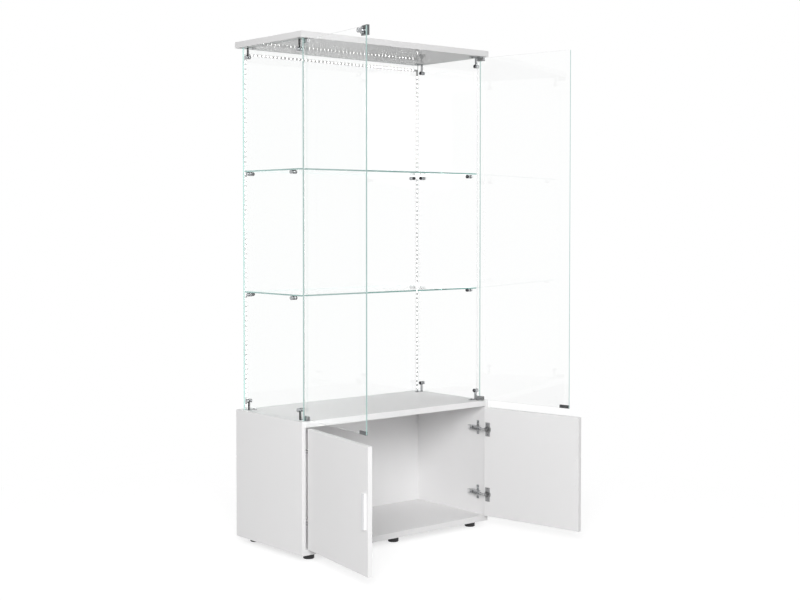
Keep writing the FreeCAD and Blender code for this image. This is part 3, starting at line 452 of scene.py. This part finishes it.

# %% [markdown]
# The handles are satin aluminium, brushed along their length. A noise that is stretched along Z
# gives the brush lines, for the roughness as well as for a fine bump. A mask from the normal tells
# the broad face from the narrow wall beside it: the broad face gets painted shade, a darker colour,
# and is more metallic. Why they differ on the real handle can't be seen.

# %% Brushed aluminium
brushed_aluminium, tree, shader = new_material("brushed_aluminium")
place = add_node(tree, "ShaderNodeTexCoord", -900, 0)
stretch = add_node(tree, "ShaderNodeMapping", -700, 0)
stretch.inputs["Scale"].default_value = (900, 900, 14)
wire(tree, place.outputs["Object"], stretch.inputs["Vector"])
brush = add_node(tree, "ShaderNodeTexNoise", -500, 0)
brush.inputs["Scale"].default_value = 1.0
brush.inputs["Detail"].default_value = 3
wire(tree, stretch.outputs["Vector"], brush.inputs["Vector"])
tone = add_node(tree, "ShaderNodeMix", -250, 150, data_type="RGBA")
tone.inputs[6].default_value = (0.86, 0.86, 0.87, 1)
tone.inputs[7].default_value = (0.95, 0.95, 0.96, 1)
wire(tree, brush.outputs["Fac"], tone.inputs["Factor"])
split = add_node(tree, "ShaderNodeSeparateXYZ", -700, 350)
wire(tree, place.outputs["Normal"], split.inputs[0])
sideways = add_node(tree, "ShaderNodeMath", -500, 350, operation="ABSOLUTE")
wire(tree, split.outputs["X"], sideways.inputs[0])
front = add_node(tree, "ShaderNodeMapRange", -300, 350)
front.inputs["From Min"].default_value = 0.6
front.inputs["From Max"].default_value = 0.9
wire(tree, sideways.outputs[0], front.inputs["Value"])
# Painted shade: the broad face's colour is multiplied darker than the narrow wall's.
face_painted_shade = add_node(tree, "ShaderNodeMix", -50, 250, data_type="RGBA", blend_type="MULTIPLY")
face_painted_shade.inputs[7].default_value = (0.8, 0.8, 0.805, 1)
wire(tree, front.outputs["Result"], face_painted_shade.inputs["Factor"])
wire(tree, tone.outputs[2], face_painted_shade.inputs[6])
wire(tree, face_painted_shade.outputs[2], shader.inputs["Base Color"])
satin = add_node(tree, "ShaderNodeMapRange", -250, -100)
satin.inputs["To Min"].default_value = 0.28
satin.inputs["To Max"].default_value = 0.42
wire(tree, brush.outputs["Fac"], satin.inputs["Value"])
wire(tree, satin.outputs["Result"], shader.inputs["Roughness"])
lines = add_node(tree, "ShaderNodeBump", -250, -300)
lines.inputs["Strength"].default_value = 0.08
lines.inputs["Distance"].default_value = 0.0001
wire(tree, brush.outputs["Fac"], lines.inputs["Height"])
wire(tree, lines.outputs["Normal"], shader.inputs["Normal"])
bare = add_node(tree, "ShaderNodeMapRange", -50, 50)
bare.inputs["To Min"].default_value = 0.1
bare.inputs["To Max"].default_value = 1.0
wire(tree, front.outputs["Result"], bare.inputs["Value"])
wire(tree, bare.outputs["Result"], shader.inputs["Metallic"])
print("brushed aluminium")

# %% [markdown]
# The shelf pegs and the bracket knobs are bright barrels with a darker nose: partly the dark pad such
# pegs have, partly a painted dark reflection. The nose is found from the place on the piece: it is
# what reaches furthest into the case, from the sides and from the back.

# %% Dark-nosed chrome
nose_from_middle = 0.4172
nose_from_front = 0.3386
nose_pad_and_painted_reflection_chrome = bright_chrome.copy()
nose_pad_and_painted_reflection_chrome.name = "nose_pad_and_painted_reflection_chrome"
tree = nose_pad_and_painted_reflection_chrome.node_tree
shader = tree.nodes["Principled BSDF"]
body_colour = shader.inputs["Base Color"].links[0].from_socket
place = add_node(tree, "ShaderNodeTexCoord", -1300, 500)
split = add_node(tree, "ShaderNodeSeparateXYZ", -1100, 500)
wire(tree, place.outputs["Object"], split.inputs[0])
sideways = add_node(tree, "ShaderNodeMath", -900, 600, operation="ABSOLUTE")
wire(tree, split.outputs["X"], sideways.inputs[0])
inside = add_node(tree, "ShaderNodeMath", -700, 600, operation="LESS_THAN")
inside.inputs[1].default_value = nose_from_middle
wire(tree, sideways.outputs[0], inside.inputs[0])
ahead = add_node(tree, "ShaderNodeMath", -700, 400, operation="LESS_THAN")
ahead.inputs[1].default_value = nose_from_front
wire(tree, split.outputs["Y"], ahead.inputs[0])
nose = add_node(tree, "ShaderNodeMath", -500, 500, operation="MULTIPLY")
wire(tree, inside.outputs[0], nose.inputs[0])
wire(tree, ahead.outputs[0], nose.inputs[1])
# The nose's near black is partly its dark pad and partly painted dark reflection.
tone = add_node(tree, "ShaderNodeMix", -200, 400, data_type="RGBA")
tone.inputs[7].default_value = (0.05, 0.05, 0.055, 1)
wire(tree, nose.outputs[0], tone.inputs["Factor"])
wire(tree, body_colour, tone.inputs[6])
wire(tree, tone.outputs[2], shader.inputs["Base Color"])
print("nosed chrome")

# %% [markdown]
# Clear float glass is almost invisible face on, and shows its green iron tint where one looks into
# a cut edge. Each pane is a real closed slab, so a transmissive shader does the rest. The edge mask
# needs to know which way a pane faces, so each pane has its own finish. Light from the panel
# passes through to the shelves, as it does in the real case. A ground edge also gets a little
# painted glow, an emission seen from outside only.
# The shelves are seen almost edge on, so their faces are made thinner, or they would act as mirrors,
# and their far edges get a painted glow from inside, so that they don't show as grey lines. The
# doors' edges are rough, as ground ones are, so that the top edges of the doors show at all.

# %% Clear glass
left_door_open = 98
right_door_open = -100.5


def clear_glass(name, across, looks):
    material, tree, shader = new_material(name)
    shader.inputs["Transmission Weight"].default_value = 1.0
    shader.inputs["IOR"].default_value = 1.45
    tint = add_node(tree, "ShaderNodeGroup", -400, 0, node_tree=pane_edge)
    tint.inputs["Across"].default_value = across
    for socket, value in looks.items():
        tint.inputs[socket].default_value = value
    wire(tree, tint.outputs["Color"], shader.inputs["Base Color"])
    shader.inputs["Roughness"].default_value = 0.0
    if "Face Alpha" in looks:
        wire(tree, tint.outputs["Alpha"], shader.inputs["Alpha"])
    if "Edge Roughness" in looks:
        wire(tree, tint.outputs["Roughness"], shader.inputs["Roughness"])
    # The painted edge glow goes to the emission: Glow from outside, Inner Glow from inside.
    geometry = add_node(tree, "ShaderNodeNewGeometry", -400, -250)
    outside = add_node(tree, "ShaderNodeMix", -150, -200, data_type="RGBA")
    wire(tree, tint.outputs["Inner Glow"], outside.inputs[7])
    wire(tree, geometry.outputs["Backfacing"], outside.inputs["Factor"])
    wire(tree, tint.outputs["Glow"], outside.inputs[6])
    wire(tree, outside.outputs[2], shader.inputs["Emission Color"])
    shader.inputs["Emission Strength"].default_value = 1.0
    path = add_node(tree, "ShaderNodeLightPath", -100, 300)
    through = add_node(tree, "ShaderNodeBsdfTransparent", -100, -300)
    through.inputs["Color"].default_value = (0.955, 0.967, 0.963, 1)
    choose = add_node(tree, "ShaderNodeMixShader", 350, 0)
    wire(tree, path.outputs["Is Shadow Ray"], choose.inputs["Fac"])
    wire(tree, shader.outputs[0], choose.inputs[1])
    wire(tree, through.outputs[0], choose.inputs[2])
    wire(tree, choose.outputs[0], tree.nodes["Material Output"].inputs["Surface"])
    return material


def door_facing(degrees):
    angle = math.radians(degrees)
    return (math.sin(angle), math.cos(angle), 0)


panes = {
    "left_side_glass": (1, 0, 0),
    "right_side_glass": (1, 0, 0),
    "back_glass": (0, 1, 0),
}
doors = {
    "left_glass_door": door_facing(left_door_open),
    "right_glass_door": door_facing(right_door_open),
}
door_looks = {"Edge Roughness": 0.45}
shelf_looks = {
    "Face Alpha": 0.4,
    "Edge": (0.02, 0.05, 0.045, 1),
    # The shelves' Edge Light and Inner Light are painted glow; Inner Light keeps their far edges from
    # showing grey.
    "Edge Light": (0.06, 0.14, 0.125, 1),
    "Inner Light": (0.74, 0.77, 0.765, 1),
}
pane_finish = {name: clear_glass(f"clear_{name}", across, {}) for name, across in panes.items()}
for name, across in doors.items():
    pane_finish[name] = clear_glass(f"clear_{name}", across, door_looks)
for name in ("lower_shelf", "upper_shelf"):
    pane_finish[name] = clear_glass(f"clear_{name}", (0, 0, 1), shelf_looks)
print(len(pane_finish), "glass finishes")

# %% [markdown]
# ## Dress the imported pieces
# The record says which slot each node belongs to, so the finishes are handed out by slot. The panes,
# the cap, the nosed pegs and knobs, the duller hinge cups and the grey clamps get their own.
# The cap's laminate is glossier than the base's, and darker: that darker colour is painted shade for
# its underside.

# %% Hand out the finishes
slot_finish = {
    "white_laminate": white_laminate,
    "black_plastic": black_plastic,
    "beech": beech,
    "zinc_steel": bright_zinc,
    "bright_chrome": bright_chrome,
    "grey_metal": grey_metal,
    "brushed_aluminium": brushed_aluminium,
    "white_strip": strip_tape,
}
node_finish = dict(pane_finish)
node_finish["cap"] = painted_shade_cap_laminate
for name in ("lower_shelf_pegs", "upper_shelf_pegs", "bracket_knobs"):
    node_finish[name] = nose_pad_and_painted_reflection_chrome
for name in ("left_hinge_cups", "right_hinge_cups"):
    node_finish[name] = dull_zinc
for name in ("left_door_clamps", "right_door_clamps"):
    node_finish[name] = dark_chrome
for subpart in frame["record"]["subparts"]:
    name = subpart["node"]
    finish = node_finish.get(name) or slot_finish[subpart["material_slot"]]
    nodes[name].data.materials.clear()
    nodes[name].data.materials.append(finish)

# %% [markdown]
# ## Light strip
# The strip is a narrow printed tape with a square diode every 18 mm. One diode is modelled: a low
# box whose front is inset and sunk to a window. An array repeats it along the tape. The windows give
# off light, because the photograph shows them mirrored in the underside of the cap.

# %% One diode
diode_white, tree, shader = new_material("diode_white")
cloud = add_node(tree, "ShaderNodeGroup", -700, 100, node_tree=faint_cloud)
cloud.inputs["Light"].default_value = (0.92, 0.92, 0.9, 1)
cloud.inputs["Dark"].default_value = (0.86, 0.86, 0.83, 1)
cloud.inputs["Scale"].default_value = 400
wire(tree, cloud.outputs["Color"], shader.inputs["Base Color"])
wire(tree, cloud.outputs["Roughness"], shader.inputs["Roughness"])
shader.inputs["Emission Color"].default_value = (1, 1, 0.98, 1)
shader.inputs["Emission Strength"].default_value = 15.0


def chip(name, place, size, case, window, sink):
    rim = min(size[0], size[2]) * 0.14
    bpy.ops.object.select_all(action="DESELECT")
    bpy.ops.mesh.primitive_cube_add(size=1, location=place, scale=size)
    made = bpy.context.object
    made.name = name
    bpy.ops.object.transform_apply(location=True, rotation=True, scale=True)
    for face in made.data.polygons:
        face.select = face.normal.y < -0.9
    bpy.ops.object.mode_set(mode="EDIT")
    bpy.ops.mesh.select_mode(type="FACE")
    bpy.ops.mesh.inset(thickness=rim)
    bpy.ops.transform.translate(value=(0, sink, 0))
    bpy.ops.object.mode_set(mode="OBJECT")
    made.data.materials.append(case)
    made.data.materials.append(window)
    for face in made.data.polygons:
        face.material_index = int(face.select)
    return made


def repeat_row(row, step, count):
    array = row.modifiers.new("repeat", "ARRAY")
    array.use_relative_offset = False
    array.use_constant_offset = True
    array.constant_offset_displace = step
    array.count = count
    bpy.ops.object.modifier_apply(modifier=array.name)
    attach(row, "cabinet")


print("diode finish and chip tools ready")

# %% [markdown]
# The tape runs up both sides of the back glass and along its top. How many diodes fit follows from
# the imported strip's own box.

# %% Rows of diodes
diode_size = (0.005, 0.0011, 0.005)


def diode_row(name, first, step, count):
    row = chip(name, first, diode_size, chip_case, diode_white, sink=0.0003)
    repeat_row(row, step, count)


strip_low, strip_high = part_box("led_strip")
tape = 0.008
chip_lift = 0.0005
diode_y = strip_low.y - chip_lift
pitch = 0.0179
top_z = strip_high.z - tape / 2
side_x = strip_high.x - tape / 2
upright = int((top_z - tape - strip_low.z) / pitch)
across = int((2 * side_x) / pitch)
first_up = strip_low.z + 0.01
first_across = -side_x + 0.009
diode_row("left_diodes", (-side_x, diode_y, first_up), (0, 0, pitch), upright)
diode_row("right_diodes", (side_x, diode_y, first_up), (0, 0, pitch), upright)
diode_row("top_diodes", (first_across, diode_y, top_z), (pitch, 0, 0), across)
print("diodes:", upright, "per side,", across, "on top")

# %% [markdown]
# Between the diodes the tape carries a small resistor for every third one. It is a plain chip with a
# raised middle, made the same way as the diode: a box whose front face is inset and pushed forward.

# %% Resistors
resistor_grey = cloudy(
    "resistor_grey", light=(0.2, 0.2, 0.2), dark=(0.14, 0.14, 0.14),
    scale=200, smooth=0.4, rough=0.55, bump=0.1,
)


def resistor_row(name, first, step, count, size):
    row = chip(name, first, size, chip_case, resistor_grey, sink=-0.0002)
    repeat_row(row, step, count)


standing = (0.0016, 0.0006, 0.0031)
lying = (0.0031, 0.0006, 0.0016)
diodes_each = 3
resistor_step = diodes_each * pitch
first_up = strip_low.z + 0.019
first_across = -side_x + 0.018
for name, x in (("left_resistors", -side_x), ("right_resistors", side_x)):
    place = (x, diode_y, first_up)
    resistor_row(name, place, (0, 0, resistor_step), upright // diodes_each, standing)
place = (first_across, diode_y, top_z)
resistor_row("top_resistors", place, (resistor_step, 0, 0), across // diodes_each, lying)
print("resistors on the tape")

# %% [markdown]
# ## Screws
# Every visible screw is a pan head with a cross recess. One is modelled: a short cylinder whose upper
# rim is bevelled round, a thinner cylinder as its shank, and two crossed bars cut out of the head.
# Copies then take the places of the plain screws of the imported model.

# %% One cross-recess screw
def flat_bar(size, height):
    bpy.ops.mesh.primitive_cube_add(size=1, location=(0, 0, height), scale=size)
    bpy.ops.object.transform_apply(location=True, rotation=True, scale=True)
    return bpy.context.object


def cross_screw(radius, height, shank, reach):
    bpy.ops.object.select_all(action="DESELECT")
    bpy.ops.mesh.primitive_cylinder_add(
        vertices=28, radius=radius, depth=height, location=(0, 0, height / 2)
    )
    head = bpy.context.object
    bpy.ops.object.transform_apply(location=True, rotation=True, scale=True)
    for edge in head.data.edges:
        edge.select = all(head.data.vertices[v].co.z > height * 0.9 for v in edge.vertices)
    bpy.ops.object.mode_set(mode="EDIT")
    bpy.ops.mesh.select_mode(type="EDGE")
    bpy.ops.mesh.bevel(offset=height * 0.62, segments=5, profile=0.5, affect="EDGES")
    bpy.ops.object.mode_set(mode="OBJECT")
    long_side, short_side = radius * 1.15, radius * 0.24
    bars = [
        flat_bar((long_side, short_side, height), height * 1.02),
        flat_bar((short_side, long_side, height), height * 1.02),
    ]
    for bar in bars:
        carve = head.modifiers.new("carve", "BOOLEAN")
        carve.operation = "DIFFERENCE"
        carve.object = bar
        bpy.context.view_layer.objects.active = head
        bpy.ops.object.modifier_apply(modifier=carve.name)
        bpy.data.objects.remove(bar)
    bpy.ops.object.select_all(action="DESELECT")
    bpy.ops.mesh.primitive_cylinder_add(
        vertices=16, radius=shank, depth=reach, location=(0, 0, -reach / 2)
    )
    bpy.ops.object.transform_apply(location=True, rotation=True, scale=True)
    head.select_set(True)
    bpy.context.view_layer.objects.active = head
    bpy.ops.object.join()
    bpy.ops.object.shade_smooth_by_angle(angle=math.radians(35))
    return head


def copies(template, name, spots):
    made = []
    for where, towards in spots:
        bpy.ops.object.select_all(action="DESELECT")
        template.select_set(True)
        bpy.context.view_layer.objects.active = template
        bpy.ops.object.duplicate()
        piece = bpy.context.object
        piece.location = where
        piece.rotation_euler = Vector(towards).to_track_quat("Z", "Y").to_euler()
        bpy.ops.object.transform_apply(location=True, rotation=True, scale=True)
        made.append(piece)
    bpy.ops.object.select_all(action="DESELECT")
    for piece in made:
        piece.select_set(True)
    bpy.context.view_layer.objects.active = made[0]
    bpy.ops.object.join()
    joined = bpy.context.object
    joined.name = name
    return joined


screw = cross_screw(radius=0.0038, height=0.0025, shank=0.002, reach=0.009)
screw.data.materials.append(bright_zinc)
print("screw with", len(screw.data.polygons), "faces")

# %% [markdown]
# The screws of the fixed fittings sit in the corner brackets, in the wings of the hinge plates and at
# the back of the hinge arms. Their places follow from the boards and plates they are driven into.

# %% Screws of the fixed fittings
bracket_x = 0.402
bracket_rows = (0.002, 0.322)
on_base, under_cap = 0.497, 1.828
hinge_heights = (0.131, 0.385)
screw_drops = (-0.021, 0.021)
wing_x, wing_y = 0.432, -0.003
arm_x, arm_y = 0.428, 0.023
bracket_spots = []
plate_spots = []
for side in (-1, 1):
    for y in bracket_rows:
        bracket_spots.append(((side * bracket_x, y, on_base), (0, 0, 1)))
        bracket_spots.append(((side * bracket_x, y, under_cap), (0, 0, -1)))
    for z in hinge_heights:
        for drop in screw_drops:
            plate_spots.append(((side * wing_x, wing_y, z + drop), (-side, 0, 0)))
        plate_spots.append(((side * arm_x, arm_y, z), (-side, 0, 0)))
for name, spots, node_name in (
    ("bracket_cross_screws", bracket_spots, "bracket_screws"),
    ("plate_cross_screws", plate_spots, "hinge_plate_screws"),
):
    piece = copies(screw, name, spots)
    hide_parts(node_name)
    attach(piece, "cabinet")
    print(name, len(spots))

# %% [markdown]
# The doors stand open, so a place on a door is measured on the closed door, from its turning axis,
# and then swung out. The right door mirrors the left one. The handle screws are sunk into the door
# and covered by flat white caps, so nothing but a faint ring shows on the inside.

# %% Places on an open base door
swing = math.radians(-100)
axis_x, axis_y = 0.4375, 0.0456


def on_door(side, x, y, z):
    turned_x = x * math.cos(swing) - y * math.sin(swing)
    turned_y = x * math.sin(swing) + y * math.cos(swing)
    return (-side * (turned_x - axis_x), turned_y - axis_y, z)


def off_door(side):
    return (side * math.sin(swing), math.cos(swing), 0)


print("left door's axis is at", on_door(-1, 0, 0, 0)[:2])

# %% [markdown]
# A cap is a thin disc. Its upper face is inset and lifted, which gives it a low stepped rim.

# %% One screw cap
bpy.ops.object.select_all(action="DESELECT")
bpy.ops.mesh.primitive_cylinder_add(
    vertices=32, radius=0.0062, depth=0.0006, location=(0, 0, 0.0003)
)
screw_cap = bpy.context.object
bpy.ops.object.transform_apply(location=True, rotation=True, scale=True)
for face in screw_cap.data.polygons:
    face.select = face.normal.z > 0.9
bpy.ops.object.mode_set(mode="EDIT")
bpy.ops.mesh.select_mode(type="FACE")
bpy.ops.mesh.inset(thickness=0.0006)
bpy.ops.transform.translate(value=(0, 0, 0.0003))
bpy.ops.object.mode_set(mode="OBJECT")
screw_cap.data.materials.append(white_laminate)
print("cap with", len(screw_cap.data.polygons), "faces")

# %% [markdown]
# Each door gets four screws in the flanges of its hinge cups, which take the place of the packed
# ones, and two caps. All of them ride on the door.

# %% Screws and caps of the base doors
cup_x, flange_y = 0.0225, 0.0236
handle_x, inner_y = 0.418, 0.0216
handle_screws = (0.21, 0.306)
for name, side in (("left", -1), ("right", 1)):
    cup_spots = [
        (on_door(side, cup_x, flange_y, z + drop), off_door(side))
        for z in hinge_heights
        for drop in screw_drops
    ]
    piece = copies(screw, f"{name}_cup_cross_screws", cup_spots)
    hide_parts(f"{name}_cup_screws")
    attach(piece, f"{name}_base_door")
    cap_spots = [(on_door(side, handle_x, inner_y, z), off_door(side)) for z in handle_screws]
    piece = copies(screw_cap, f"{name}_screw_caps", cap_spots)
    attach(piece, f"{name}_base_door")
for template in (screw, screw_cap):
    bpy.data.objects.remove(template)
print("door screws and caps placed")
